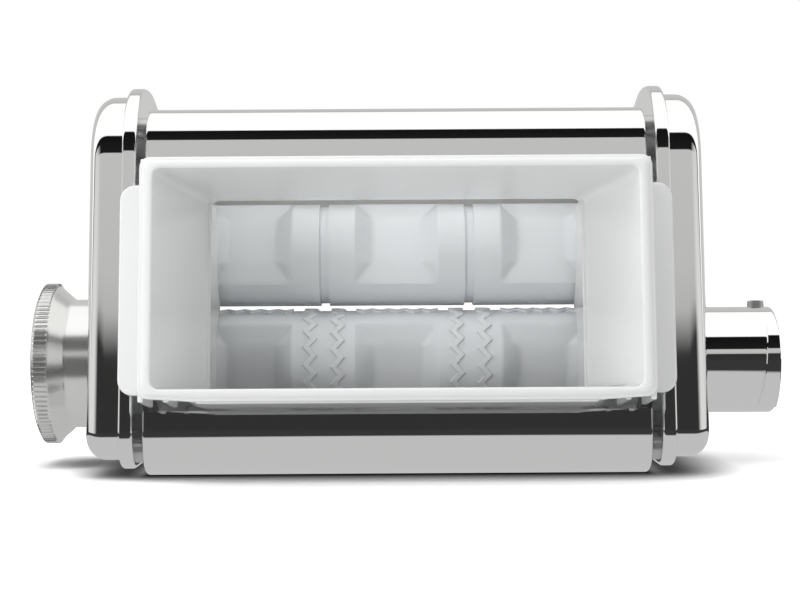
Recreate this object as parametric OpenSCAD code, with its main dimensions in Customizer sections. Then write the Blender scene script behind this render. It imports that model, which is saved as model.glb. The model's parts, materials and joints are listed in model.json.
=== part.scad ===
// Ravioli-making roller head of a pasta roller machine, lying on its lower cover.
// Machine frame: x along the rollers, y inwards from the hopper side, z across the nip.
// place() leans that frame back so that the tapered underside lies flat on the table.

/* [Rollers] */
// Distance between neighbouring ravioli along the rollers
row_pitch = 45; // [42:1:48]
// Radius of both roller bodies
roller_r = 16; // [15:0.5:17]
// Gap between the roller bodies at the nip
nip_gap = 1.8; // [1.4:0.1:2.4]
// Length of plain roller past the last row
end_land = 6.4; // [5:0.2:9]
// Depth of the roller axes behind the front of the body
roller_y = 43; // [41:1:46]
// Distance of a pocket floor from the roller axis
floor_r = 9.5; // [8.5:0.25:10.5]
// Width of a square pocket floor
floor_w = 15; // [13:0.5:17]
// Width of a pocket mouth along the roller
mouth_w = 25.5; // [22:0.5:27]
// Half of the angle that a pocket mouth spans around the roller
mouth_angle = 62; // [55:1:66]
// Turn of the pockets away from the hopper at rest
pocket_phase = 20; // [14:1:24]
// Height of the crimping ribs
crimp_h = 0.8; // [0.4:0.1:1]
// Width of a crimping rib
crimp_w = 2.2; // [1.6:0.1:2.6]
// Number of zigzags of a crimping ring around the roller
crimp_count = 19; // [16:1:22]
// Width of the smooth groove at each seam of the upper roller
groove_w = 2.8; // [2.4:0.2:4]
// Depth of that groove
groove_d = 0.8; // [0.5:0.1:1.2]

/* [Shafts and gears] */
// Radius of both shafts
shaft_r = 5; // [4.5:0.25:5.5]
// Wall of the flanged bushes
bush_wall = 3; // [2:0.25:4]
// Thickness of the bush flange
bush_flange = 2; // [1.4:0.2:3]
// Teeth on each gear
gear_teeth = 26; // [24:2:28]
// Face width of the gears
gear_w = 5.6; // [4:0.2:6.4]
// Radius of the crank socket in the end of the lower shaft
socket_r = 3.5; // [3:0.1:3.8]
// Depth of the crank socket
socket_depth = 16; // [12:1:20]

/* [Body] */
// Angle at which the body leans back when it lies on its lower cover
lean = 8.5; // [7:0.5:10]
// Depth of the end plates
body_d = 70; // [68:1:76]
// Height of the upper cover above the nip plane
cover_top = 57; // [53:0.5:60]
// Depth of the resting face below the nip plane, at the front of the body
rest_depth = 55; // [53:0.5:58]
// Thickness of the end plates
plate_t = 4.4; // [3:0.2:6]
// Rise of the end plates above the upper cover, at their crown
ear_rise = 10.8; // [8:0.2:13]
// Sheet thickness of both covers
sheet_t = 1.2; // [0.8:0.1:1.6]
// Gap between each end of the covers and its end plate
cover_gap = 2.4; // [1:0.1:3]
// Height of the cover lips from the nip plane
lip_z = 35; // [34.8:0.2:38]
// Half height of the exit between the covers at the back
exit_z = 21; // [19:0.5:21.5]
// Depth of the end caps
cap_depth = 10.3; // [9.5:0.1:13]
// Rounding of the end caps' outer edge
cap_round = 6; // [6:0.5:9.2]
// Wall of the end caps
cap_wall = 1; // [0.8:0.1:1.4]
// Radius of the tie rods
rod_r = 3.5; // [3:0.25:4]

/* [Hopper] */
// Half length of the hopper rim
rim_x = 71.5; // [70:0.5:74]
// Half width of the hopper rim
rim_z = 34.25; // [32.5:0.25:35]
// Height of the rim in front of the body
rim_y = 27; // [22:1:32]
// Thickness of the rim at the hopper's ends
rim_end = 4; // [3:0.25:5]
// Thickness of the rim along the hopper's sides
rim_side = 3.45; // [2:0.05:3.8]
// Depth of the thick rim band
rim_band = 5; // [3:0.5:8]
// Half length of the throat
throat_x = 55.8; // [54:0.2:57]
// Half width of the throat
throat_z = 28.9; // [28:0.1:29.5]
// Depth of the throat behind the front of the body
throat_y = 13; // [10:0.5:14]
// Wall of the hopper
hopper_wall = 2.5; // [2:0.1:3]
// Half width of the wings that seat on the end plates
wing_z = 30.7; // [29:0.1:31.5]
// Thickness of those wings
wing_t = 3; // [2:0.2:4]

/* [Knob and hub] */
// Radius of the knob's knurled disc
knob_r = 25; // [23:0.5:27]
// Thickness of that disc
knob_disc = 5; // [4:0.5:7]
// Radius of the knob's neck
neck_r = 20; // [17:0.5:21]
// Distance of the knob's outer face from the end cap
knob_len = 19.3; // [17:0.1:22]
// Radius of the coupling sleeve
hub_r = 16.5; // [15:0.25:18]
// Distance that the sleeve stands out of the end cap
hub_len = 26; // [22:0.5:30]
// Wall of the sleeve
hub_wall = 4.5; // [3:0.25:6]
// Radius of the locating pin
pin_r = 2.55; // [2:0.05:3]
// Height of the locating pin over the sleeve
pin_h = 2; // [1:0.1:3]
// Rise of the bayonet ramp over the sleeve
cam_h = 1; // [0.6:0.1:1.5]

/* [Hidden] */
$fn = 64;

rows = 3;              // ravioli across the rollers
fit = 0.05;            // radial clearance of running and push fits
play = 0.4;            // end play and gap between turning and fixed faces
rod_gap = 0.3;         // gap between a cover and the part that it seats on
eps = 0.01;            // overlap that keeps cuts clean
arc_steps = 8;         // segments of each rounded corner

axis_z = roller_r + nip_gap / 2;
roller_half = rows * row_pitch / 2 + end_land;
plate_in = roller_half + play + bush_flange;
plate_out = plate_in + plate_t;
cap_out = plate_out + cap_depth;
cover_half = plate_in - cover_gap;
row_x = [for (i = [0:rows - 1]) (i - (rows - 1) / 2) * row_pitch];
seam_x = [for (i = [0:rows]) (i - rows / 2) * row_pitch];
upper = [roller_y, axis_z];
lower = [roller_y, -axis_z];

gear_module = 2 * axis_z / gear_teeth;
gear_x = plate_out + 2;
bush_r = shaft_r + bush_wall;
clip_t = 1.2;          // thickness of a shaft clip
clip_rise = 2.5;       // rise of a shaft clip over its shaft
screw_r = 2;           // shank radius of all machine screws
head_r = 3.6;          // head radius of the countersunk screws
small_r = 1.5;         // shank radius of the cover screws
small_head = 2.6;      // head radius of the cover screws
plate_lift = 2.3;      // height of the end plates over the table

// Height of the table under the body at depth y
function bottom(y) = -rest_depth + y * tan(lean);
cover_front = 1;       // set-back of the covers behind the plates' front
cover_rear = body_d - 2;
cover_fall = 2.5;      // fall of the upper cover towards the back
ear_front = cover_top + 4;
ear_rear = cover_top + 4.5;
crown_y = 32;          // depth of the end plates' crown

// End plate outline: each corner is [y, z, radius]
plate_outline = [[0, bottom(0) + plate_lift, 10.5], [0, ear_front, 25],
    [crown_y, cover_top + ear_rise, 45], [body_d, ear_rear, 14],
    [body_d, bottom(body_d) + plate_lift, 10]];
cap_inset = 2.6;       // inset of the caps from the plates' outline
upper_outline = [[cover_front, 0, 0], [cover_front, cover_top, 12],
    [cover_rear, cover_top - cover_fall, 8], [cover_rear, 0, 0]];
lower_outline = [[cover_front, 0, 0], [cover_front, -bottom(cover_front), 13],
    [cover_rear, -bottom(cover_rear), 8], [cover_rear, 0, 0]];

function unit(v) = v / norm(v);
function flat(p) = [p[0], p[1]];
// Half of the angle at corner p between its neighbours a and b
function half_angle(a, p, b) = acos(unit(a - p) * unit(b - p)) / 2;
// Centre of the arc of radius r that rounds corner p
function arc_centre(a, p, b, r) = p + unit(unit(a - p) + unit(b - p)) * r / sin(half_angle(a, p, b));
// Arc that rounds corner p with radius r
function corner_arc(a, p, b, r) =
    let (half = half_angle(a, p, b), c = arc_centre(a, p, b, r), sweep = 180 - 2 * half,
         s = unit(p + unit(a - p) * r / tan(half) - c), e = unit(p + unit(b - p) * r / tan(half) - c))
    [for (k = [0:arc_steps])
        c + r * (s * sin(sweep * (1 - k / arc_steps)) + e * sin(sweep * k / arc_steps)) / sin(sweep)];
function before(c, i) = flat(c[(i + len(c) - 1) % len(c)]);
function after(c, i) = flat(c[(i + 1) % len(c)]);
// Outline with its corners rounded
function rounded(c) = [for (i = [0:len(c) - 1])
    each c[i][2] > 0 ? corner_arc(before(c, i), flat(c[i]), after(c, i), c[i][2]) : [flat(c[i])]];
// Convex outline moved inwards by t
function inset(c, t) = [for (i = [0:len(c) - 1])
    let (q = arc_centre(before(c, i), flat(c[i]), after(c, i), t))
    [q[0], q[1], c[i][2] > 0 ? max(c[i][2] - t, 0.4) : 0]];
// Place of a tie rod inside corner i of a cover outline
function rod_place(c, i) =
    let (p = flat(c[i]), m = arc_centre(before(c, i), p, after(c, i), c[i][2]))
    m + unit(p - m) * (c[i][2] - sheet_t - rod_gap - rod_r);

upper_rods = [rod_place(upper_outline, 1), rod_place(upper_outline, 2)];
lower_rods = [for (i = [1, 2]) let (p = rod_place(lower_outline, i)) [p[0], -p[1]]];
rods = concat(upper_rods, lower_rods);
posts = [[20, 34], [20, -33], [45, cover_top - 9.5]]; // places of the cap posts
post_r = 4;

// Leans the machine frame back and sets the middle of its resting face on the origin
rest_front = cover_front + 13;
rest_rear = cover_rear - 8;
rest_mid = (rest_front + rest_rear) / 2;
module place() translate([0, rest_depth * sin(lean) - rest_mid / cos(lean), rest_depth * cos(lean)])
    rotate([-lean, 0, 0]) children();

// Extrudes a [y, z] outline along the rollers
module along_x(x0, x1) translate([x0, 0, 0]) rotate([90, 0, 90]) linear_extrude(x1 - x0) children();
// Round bar along the rollers at point p = [y, z]
module bar(x0, x1, r, p) translate([x0, p[0], p[1]]) rotate([0, 90, 0]) cylinder(h = x1 - x0, r = r);
// Builds its children on the right side, or mirrored on the left
module side(s) mirror([s < 0 ? 1 : 0, 0, 0]) children();

// Countersunk screw whose flat head ends at x on the right side, pointing inwards
module flush_screw(x, p, length, r = screw_r, head = head_r, grow = 0)
    translate([x - length, p[0], p[1]]) rotate([0, 90, 0]) {
        cylinder(h = length - eps, r = r + grow);
        translate([0, 0, length - (head - r)]) cylinder(h = head - r, r1 = r + grow, r2 = head + grow);
    }

module end_plate() difference() {
    along_x(plate_in, plate_out) polygon(rounded(plate_outline));
    for (p = [upper, lower]) bar(plate_in - 1, plate_out + 1, bush_r + fit, p);
    for (p = rods) flush_screw(plate_out, p, plate_t + 1, grow = fit);
    for (p = posts) bar(plate_in - 1, plate_out + 1, screw_r + fit, p);
}
module left_end_plate() color("gainsboro") place() side(-1) end_plate();
module right_end_plate() color("gainsboro") place() side(1) difference() {
    end_plate();
    for (p = hub_screw_places) bar(plate_in - 1, plate_out + 1, small_r + fit, p);
}

// Solid dish whose outer edge is rounded by radius r, starting t inside the cap's outline
module dish(depth, r, t) hull() for (a = [0:15:90])
    along_x(plate_out + depth - r + r * sin(a) - eps, plate_out + depth - r + r * sin(a))
        polygon(rounded(inset(plate_outline, cap_inset + t + r * (1 - cos(a)))));
module cap(hole_r) difference() {
    union() {
        dish(cap_depth, cap_round, 0);
        along_x(plate_out, plate_out + cap_depth - cap_round)
            polygon(rounded(inset(plate_outline, cap_inset)));
    }
    dish(cap_depth - cap_wall, cap_round - cap_wall, cap_wall);
    along_x(plate_out - 1, plate_out + cap_depth - cap_round)
        polygon(rounded(inset(plate_outline, cap_inset + cap_wall)));
    bar(plate_out, cap_out + 1, hole_r, lower);
    for (p = posts) bar(plate_out, cap_out + 1, screw_r + fit, p);
}
module left_cap() color("gainsboro") place() side(-1) cap(shaft_r + 2);
module right_cap() color("gainsboro") place() side(1) cap(hub_r + 0.2);

// Bent sheet around the upper half of the body, open towards the nip plane
module cover_sheet(outline) difference() {
    along_x(-cover_half, cover_half) difference() {
        polygon(rounded(outline));
        polygon(rounded(inset(outline, sheet_t)));
        translate([cover_front - 1, -1]) square([roller_y, lip_z + 1]);
        translate([roller_y, -1]) square([body_d, exit_z + 1]);
    }
    for (x = cover_screw_x) translate([x, cover_rear + 1, comb_z + comb_h / 2]) rotate([90, 0, 0])
        cylinder(h = sheet_t + 2, r = small_r + fit);
}
module upper_cover() color("gainsboro") place() cover_sheet(upper_outline);
module lower_cover() color("gainsboro") place() mirror([0, 0, 1]) cover_sheet(lower_outline);

module tie_rods() color("silver") place() for (p = rods) difference() {
    bar(-plate_in, plate_in, rod_r, p);
    for (s = [-1, 1]) side(s) bar(plate_in - rod_thread, plate_in + 1, screw_r + fit, p);
}
rod_thread = 10;
module tie_rod_screws() color("silver") place() for (s = [-1, 1], p = rods)
    side(s) flush_screw(plate_out, p, plate_t + rod_thread - 1);

// Post between an end plate and its cap, with a stud that goes through the plate
module cap_posts() color("silver") place() for (s = [-1, 1], p = posts) side(s) difference() {
    union() {
        bar(plate_out, cap_out - cap_wall, post_r, p);
        bar(plate_in + 1, plate_out + eps, screw_r, p);
    }
    bar(cap_out - cap_wall - 7, cap_out, small_r + fit, p);
}
cap_head_t = 1.2;
module cap_screws() color("silver") place() for (s = [-1, 1], p = posts) side(s) {
    bar(cap_out - cap_wall - 6, cap_out + eps, small_r, p);
    bar(cap_out, cap_out + cap_head_t, small_head, p);
}

// Upper stripper comb: a bar between the end plates with a finger at each seam
comb_d = 5;
comb_h = 5;
comb_z = exit_z + 1;
comb_y = cover_rear - sheet_t - rod_gap - comb_d;
finger_w = 2.2;
finger_gap = 0.7;
tip_angle = 36;
cover_screw_x = [-60, 0, 60];
finger_tip = upper + (roller_r + finger_gap) * [cos(tip_angle), -sin(tip_angle)];
module comb() difference() {
    union() {
        translate([-plate_in, comb_y, comb_z]) cube([2 * plate_in, comb_d, comb_h]);
        for (x = seam_x) along_x(x - finger_w / 2, x + finger_w / 2) difference() {
            polygon([finger_tip, [comb_y + 2.5, finger_tip[1] + 4], [comb_y + comb_d, comb_z + 1],
                [comb_y + comb_d, comb_z + comb_h], [comb_y, comb_z + comb_h],
                [roller_y + roller_r, axis_z]]);
            translate(upper) circle(r = roller_r + finger_gap);
        }
    }
    for (x = cover_screw_x) translate([x, cover_rear, comb_z + comb_h / 2]) rotate([90, 0, 0])
        cylinder(h = comb_d, r = small_r + fit);
}
module upper_stripper() color("white") place() comb();
module lower_stripper() color("white") place() mirror([0, 0, 1]) comb();
cover_screw_len = 5;
module cover_screws() color("silver") place() for (m = [0, 1], x = cover_screw_x) mirror([0, 0, m])
    translate([x, cover_rear + 1.4, comb_z + comb_h / 2]) rotate([90, 0, 0]) {
        cylinder(h = 1.4, r = small_head);
        cylinder(h = 1.4 + cover_screw_len, r = small_r);
    }

module bush(p) difference() {
    union() {
        bar(plate_in - eps, plate_out, bush_r, p);
        bar(plate_in - bush_flange, plate_in, bush_r + 2, p);
    }
    bar(plate_in - bush_flange - 1, plate_out + 1, shaft_r + fit, p);
}
module upper_left_bush() color("goldenrod") place() side(-1) bush(upper);
module upper_right_bush() color("goldenrod") place() side(1) bush(upper);
module lower_left_bush() color("goldenrod") place() side(-1) bush(lower);
module lower_right_bush() color("goldenrod") place() side(1) bush(lower);

// Sunken pocket that faces +z, cut from a roller whose axis is x
module pocket_cutter() {
    steps = 8;
    reach = 2;
    turn = [for (i = [0:steps]) 2 * i / steps - 1];
    // Loops of points around the pocket: flat at its floor, wrapped around the roller at its mouth
    function flat_loop(w, l, h) = concat([for (t = turn) [w, l * t, h]], [for (t = turn) [-w, -l * t, h]]);
    function round_loop(w, a, r) = concat([for (t = turn) [w, r * sin(a * t), r * cos(a * t)]],
        [for (t = turn) [-w, -r * sin(a * t), r * cos(a * t)]]);
    spread = reach * (mouth_w - floor_w) / 2 / (roller_r - floor_r);
    m = 2 * (steps + 1);
    walls = [for (i = [0:m - 1]) let (b = (i + 1) % m) each [[b + m, b, i], [i + m, b + m, i]]];
    ends = [for (i = [0:steps - 1]) let (t = m)
        each [[i + 1, m - 1 - i, i], [m - 2 - i, m - 1 - i, i + 1],
              [t + m - 1 - i, t + i + 1, t + i], [t + m - 1 - i, t + m - 2 - i, t + i + 1]]];
    polyhedron(concat(flat_loop(floor_w / 2, floor_w / 2, floor_r),
        round_loop(mouth_w / 2 + spread, mouth_angle + 6, roller_r + reach)), concat(walls, ends));
}
// Closed or open zigzag rib from rings of four points each
function rib_faces(n, closed) = concat(
    [for (i = [0:closed ? n - 1 : n - 2], k = [0:3]) let (a = 4 * i + k, b = 4 * i + (k + 1) % 4,
        c = 4 * ((i + 1) % n) + (k + 1) % 4, d = 4 * ((i + 1) % n) + k) each [[a, b, c], [a, c, d]]],
    closed ? [] : [[3, 2, 1], [3, 1, 0],
        [4 * n - 4, 4 * n - 3, 4 * n - 2], [4 * n - 4, 4 * n - 2, 4 * n - 1]]);
crimp_root = roller_r - 0.4;
crimp_top = roller_r + crimp_h;
crimp_swing = 1.2;     // swing of a zigzag to either side
crimp_offset = 4.2;    // distance of a crimping ring from its seam
function polar(x, a, r) = [x, r * sin(a), r * cos(a)];
module crimp_ring(x) {
    n = 2 * crimp_count;
    polyhedron([for (i = [0:n - 1]) let (a = 360 * i / n, c = x + crimp_swing * (i % 2 == 0 ? 1 : -1))
        each [polar(c - crimp_w / 2, a, crimp_root), polar(c + crimp_w / 2, a, crimp_root),
              polar(c + crimp_w / 2, a, crimp_top), polar(c - crimp_w / 2, a, crimp_top)]],
        rib_faces(n, true));
}
// Zigzag along a land at angle a, over one row
module crimp_line(x, a) {
    n = 11;
    step = mouth_w / (n - 1);
    half = crimp_w / 2 / roller_r * 180 / PI;
    swing = crimp_swing / roller_r * 180 / PI;
    polyhedron([for (i = [0:n - 1])
        let (c = x + (i - (n - 1) / 2) * step, m = a + swing * (i % 2 == 0 ? 1 : -1))
        each [polar(c, m + half, crimp_root), polar(c, m - half, crimp_root),
              polar(c, m - half, crimp_top), polar(c, m + half, crimp_top)]],
        rib_faces(n, false));
}
skin_steps = 76;       // flats around a roller's skin
function skin(r) = [for (i = [0:skin_steps - 1]) r * [cos(360 * i / skin_steps), sin(360 * i / skin_steps)]];
module roller_body() difference() {
    along_x(-roller_half, roller_half) polygon(skin(roller_r));
    for (x = row_x, a = [0, 180]) rotate([a, 0, 0]) translate([x, 0, 0]) pocket_cutter();
    bar(-roller_half - 1, roller_half + 1, shaft_r + fit, [0, 0]);
}
ring_x = [for (x = seam_x, s = [-1, 1])
    if (abs(x + s * crimp_offset) < rows * row_pitch / 2) x + s * crimp_offset];
module crimp_roller() color("whitesmoke") place() translate([0, lower[0], lower[1]])
    rotate([90 + pocket_phase, 0, 0]) union() {
        roller_body();
        for (x = ring_x) crimp_ring(x);
        for (x = row_x, a = [90, 270]) crimp_line(x, a);
    }
module pocket_roller() color("whitesmoke") place() translate([0, upper[0], upper[1]])
    rotate([90 - pocket_phase, 0, 0]) difference() {
        roller_body();
        for (x = seam_x) along_x(x - groove_w / 2, x + groove_w / 2) difference() {
            polygon(skin(roller_r + 1));
            polygon(skin(roller_r - groove_d));
        }
    }

knob_in = cap_out + play;
knob_out = cap_out + knob_len;
shaft_recess = 2;
module lower_shaft() color("silver") place() difference() {
    bar(shaft_recess - knob_out, hub_plug_x - play, shaft_r, lower);
    bar(shaft_recess - knob_out - 1, shaft_recess - knob_out + socket_depth, socket_r, lower);
}
module upper_shaft() color("silver") place() bar(-cap_out + 2, plate_out + 6, shaft_r, upper);

// Gear outline with straight-flanked teeth and backlash
function gear_outline(r) =
    let (pitch = 360 / gear_teeth, tip = r + 0.8 * gear_module, root = r - 1.2 * gear_module)
    [for (i = [0:gear_teeth - 1]) each
        [for (q = [[-0.34, root], [-0.225, r], [-0.11, tip], [0.11, tip], [0.225, r], [0.34, root]])
            q[1] * [cos((i + q[0]) * pitch), sin((i + q[0]) * pitch)]]];
module gear(p, turn) difference() {
    along_x(-gear_x - gear_w, -gear_x) translate(p) rotate(turn) polygon(gear_outline(axis_z));
    bar(-gear_x - gear_w - 1, -gear_x + 1, shaft_r + fit, p);
}
module drive_gear() color("darkgray") place() gear(lower, 0);
module driven_gear() color("darkgray") place() gear(upper, 180 / gear_teeth);

// Open spring clip on a shaft, outside a bush
module clip(p) difference() {
    bar(plate_out + 0.3, plate_out + 0.3 + clip_t, shaft_r + clip_rise, p);
    bar(plate_out - 1, plate_out + 5, shaft_r + fit, p);
    translate([plate_out - 1, p[0] + 1, p[1] - 1.5]) cube([6, shaft_r + 5, 3]);
}
module lower_clips() color("dimgray") place() for (s = [-1, 1]) side(s) clip(lower);
module upper_clips() color("dimgray") place() for (s = [-1, 1]) side(s) clip(upper);

knob_bevel = 1;
knob_cone = 4.5;
screw_x = (knob_in + knob_out - knob_disc - knob_cone) / 2;
module knob() color("silver") place() translate([0, lower[0], lower[1]]) difference() {
    rotate([0, -90, 0]) rotate_extrude($fn = 128) polygon([[0, knob_in], [neck_r, knob_in],
        [neck_r, knob_out - knob_disc - knob_cone], [knob_r, knob_out - knob_disc],
        [knob_r, knob_out - knob_bevel], [knob_r - knob_bevel, knob_out], [0, knob_out]]);
    bar(-knob_out - 1, -knob_in + 1, shaft_r + fit, [0, 0]);
    translate([-screw_x, 0, 0]) rotate([-90, 0, 0]) cylinder(h = neck_r + 1, r = screw_r + fit);
}
module knob_screw() color("dimgray") place() translate([-screw_x, lower[0], lower[1]])
    rotate([-90, 0, 0]) translate([0, 0, shaft_r + fit]) cylinder(h = 8, r = screw_r);

hub_out = cap_out + hub_len;
hub_flange_t = 4;
hub_flange_w = 5.8;    // width of the flange around the sleeve
hub_flange_gap = 1;    // gap between the flange and the wall of the right cap
hub_plug_recess = 0.6; // set-back of the end plug in the sleeve
hub_plug_t = 7.4;      // thickness of the end plug
hub_plug_x = hub_out - hub_plug_recess - hub_plug_t;
hub_chamfer = 1.2;
hub_screw_places = [for (a = [50, 130, 230, 310])
    lower + (hub_r + hub_flange_w / 2) * [cos(a), sin(a)]];
pin_x = hub_out - 4.2;
cam_w = 6;
cam_top = 31;
cam_bottom = 63;
module hub_sleeve() color("gainsboro") place() difference() {
    union() {
        intersection() {
            bar(plate_out, plate_out + hub_flange_t, hub_r + hub_flange_w, lower);
            along_x(plate_out, plate_out + hub_flange_t)
                polygon(rounded(inset(plate_outline, cap_inset + cap_wall + hub_flange_gap)));
        }
        bar(plate_out, hub_out - hub_chamfer, hub_r, lower);
        translate([hub_out - hub_chamfer, lower[0], lower[1]]) rotate([0, 90, 0])
            cylinder(h = hub_chamfer, r1 = hub_r, r2 = hub_r - hub_chamfer);
        // Bayonet ramp on the side of the hopper
        translate([hub_out - cam_w, lower[0], lower[1]]) rotate([0, 90, 0])
            rotate(cam_start) rotate_extrude(angle = cam_top + cam_bottom)
                translate([hub_r - 1, 0]) square([1 + cam_h, cam_w]);
    }
    bar(plate_out - 1, hub_out + 1, hub_r - hub_wall, lower);
    translate([pin_x, lower[0], lower[1]]) cylinder(h = hub_r + cam_h + 1, r = pin_r + fit);
    for (p = hub_screw_places)
        flush_screw(plate_out + hub_flange_t, p, hub_flange_t + 1, small_r, small_head, fit);
}
cam_start = -90 - cam_bottom;
module hub_pin() color("silver") place() translate([pin_x, lower[0], lower[1] + hub_r - hub_wall + 0.5])
    cylinder(h = hub_wall - 0.5 + pin_h, r = pin_r);
module hub_end_plug() color("silver") place()
    bar(hub_plug_x, hub_out - hub_plug_recess, hub_r - hub_wall - fit, lower);
module hub_screws() color("silver") place() for (p = hub_screw_places)
    flush_screw(plate_out + hub_flange_t, p, hub_flange_t + plate_t - 1, small_r, small_head);

// Rectangle ring across the hopper's axis, from depth y0 to y1, with half sizes x and z
module slab(y0, y1, x, z, r) translate([0, y1, 0]) rotate([90, 0, 0]) linear_extrude(y1 - y0)
    polygon(rounded([[-x, -z, r], [-x, z, r], [x, z, r], [x, -z, r]]));
rim_r = 3;
inner_r = 2.4;
rib_t = 1.6;
rib_z = rim_z + 0.4;   // reach of the ribs and of the thick side walls
roller_air = 1.4;      // room between the hopper's cheeks and the rollers
cheek_lap = 4;         // reach of the cheeks back into the throat
cheek_step = 0.8;      // set-in of the cheeks from the throat's ends
cheek_in = throat_x - cheek_step;
cheek_back = throat_y - cheek_lap;
cheek_taper = roller_y - 15; // depth at which the cheeks start to narrow
cheek_end = roller_y - 7;    // depth of the cheeks' tips
cheek_tip = 0.9;       // half width of those tips
module hopper() color("white") place() difference() {
    union() {
        hull() {
            slab(-rim_y + rim_band, -rim_y + rim_band + eps, rim_x - rim_end / 4, rim_z, rim_r);
            slab(throat_y - eps, throat_y, throat_x + hopper_wall, throat_z + hopper_wall, rim_r);
        }
        slab(-rim_y, -rim_y + rim_band, rim_x, rim_z, rim_r);
        slab(-wing_t, 0, plate_out - rod_gap, wing_z, 4.4);
        // Thick side walls between the end flares, and the ribs under the flares
        slab(-rim_y + rim_band - 1, -wing_t, throat_x, rib_z, 1);
        for (s = [-1, 1], k = [0:2]) let (x = s * (throat_x + (rim_x - throat_x - rib_t) * k / 2 + rib_t / 2))
            translate([x - rib_t / 2, -rim_y + rim_band - 1, -rib_z + 1])
                cube([rib_t, rim_y - rim_band + 1 - wing_t, 2 * rib_z - 2]);
        // Cheeks that close the filling's way between the rollers
        for (s = [-1, 1]) side(s) along_x(cheek_in, cheek_in + hopper_wall) difference() {
            polygon([[cheek_back, -throat_z], [cheek_back, throat_z], [cheek_taper, throat_z],
                [cheek_end, cheek_tip], [cheek_end, -cheek_tip], [cheek_taper, -throat_z]]);
            for (p = [upper, lower]) translate(p) circle(r = roller_r + roller_air);
        }
    }
    hull() {
        slab(-rim_y - 1, -rim_y, rim_x - rim_end, rim_z - rim_side, inner_r);
        slab(cheek_back, cheek_back + eps, throat_x, throat_z, inner_r);
    }
    slab(cheek_back - 0.1, throat_y + 1, cheek_in, throat_z, inner_r);
}

left_end_plate();
right_end_plate();
left_cap();
right_cap();
upper_cover();
lower_cover();
tie_rods();
tie_rod_screws();
cap_posts();
cap_screws();
cover_screws();
hopper();
upper_left_bush();
upper_right_bush();
lower_left_bush();
lower_right_bush();
upper_stripper();
lower_stripper();
crimp_roller();
pocket_roller();
lower_shaft();
upper_shaft();
drive_gear();
driven_gear();
lower_clips();
upper_clips();
knob();
knob_screw();
hub_sleeve();
hub_pin();
hub_end_plug();
hub_screws();
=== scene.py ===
"""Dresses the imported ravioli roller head: smooth visible pieces, finishes, camera and light."""

import json
import logging
import math
from dataclasses import dataclass, field
from enum import Enum

import bmesh
import bpy
from mathutils import Matrix, Vector

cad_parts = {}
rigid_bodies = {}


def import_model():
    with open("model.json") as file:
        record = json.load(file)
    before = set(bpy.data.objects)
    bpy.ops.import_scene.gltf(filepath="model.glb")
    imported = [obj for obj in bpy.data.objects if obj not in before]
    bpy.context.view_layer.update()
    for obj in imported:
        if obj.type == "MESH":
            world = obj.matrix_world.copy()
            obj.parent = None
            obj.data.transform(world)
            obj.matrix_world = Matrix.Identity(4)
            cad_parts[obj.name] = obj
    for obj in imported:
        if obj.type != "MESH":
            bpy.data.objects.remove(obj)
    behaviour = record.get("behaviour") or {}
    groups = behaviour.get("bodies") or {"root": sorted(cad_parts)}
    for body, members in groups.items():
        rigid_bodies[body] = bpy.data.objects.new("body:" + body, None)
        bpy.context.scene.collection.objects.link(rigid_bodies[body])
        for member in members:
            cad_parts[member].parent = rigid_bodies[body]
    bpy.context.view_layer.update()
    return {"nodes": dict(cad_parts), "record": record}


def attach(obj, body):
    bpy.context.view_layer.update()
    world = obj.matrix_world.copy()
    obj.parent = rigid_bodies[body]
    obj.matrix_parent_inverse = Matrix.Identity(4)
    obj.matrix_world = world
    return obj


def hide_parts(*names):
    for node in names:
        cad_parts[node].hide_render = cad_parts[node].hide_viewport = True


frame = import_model()
LOG = logging.getLogger("ravioli_head")
MM = 0.001

Point = tuple[float, float]
Corner = tuple[float, float, float]


class Body(Enum):
    """The rigid bodies that pieces ride on."""

    FRAME = "frame"
    LOWER = "lower_roller"
    UPPER = "upper_roller"
    HOPPER = "hopper_body"


class Slot(Enum):
    """The record's material slots."""

    POLISHED = "polished_steel"
    SATIN = "satin_aluminium"
    WHITE = "white_plastic"
    ROLLER = "roller_plastic"
    MACHINED = "machined_steel"
    BRONZE = "bronze"
    GEAR = "gear_steel"


# ---------------------------------------------------------------- machine frame and outlines


@dataclass(frozen=True)
class MachineFrame:
    """The leaning frame of the machine, in millimetres: x along the rollers, y inwards, z across the nip."""

    lean: float = math.radians(8.5)
    rest_depth: float = 55.0
    rest_mid: float = 37.0

    def matrix(self) -> Matrix:
        """Matrix from machine millimetres to row metres."""
        shift_y = self.rest_depth * math.sin(self.lean) - self.rest_mid / math.cos(self.lean)
        shift = Matrix.Translation((0, shift_y, self.rest_depth * math.cos(self.lean)))
        return Matrix.Scale(MM, 4) @ shift @ Matrix.Rotation(-self.lean, 4, "X")

    def bottom(self, y: float) -> float:
        """Height of the table at depth y."""
        return -self.rest_depth + y * math.tan(self.lean)


MACHINE = MachineFrame()


@dataclass(frozen=True)
class Layout:
    """Sizes that several sub-assemblies share, in millimetres."""

    row_pitch: float = 45.0
    rows: int = 3
    roller_r: float = 16.0
    axis_y: float = 43.0
    axis_z: float = 16.9
    roller_half: float = 73.9
    plate_in: float = 76.3
    plate_out: float = 80.7
    cap_out: float = 91.0
    cover_half: float = 73.9
    body_d: float = 70.0
    cover_top: float = 57.0

    def seams(self) -> list[float]:
        """Places of the seams between the rows, ends included."""
        return [(i - self.rows / 2) * self.row_pitch for i in range(self.rows + 1)]

    def row_centres(self) -> list[float]:
        """Places of the middles of the rows."""
        return [(i - (self.rows - 1) / 2) * self.row_pitch for i in range(self.rows)]


LAYOUT = Layout()


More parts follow.
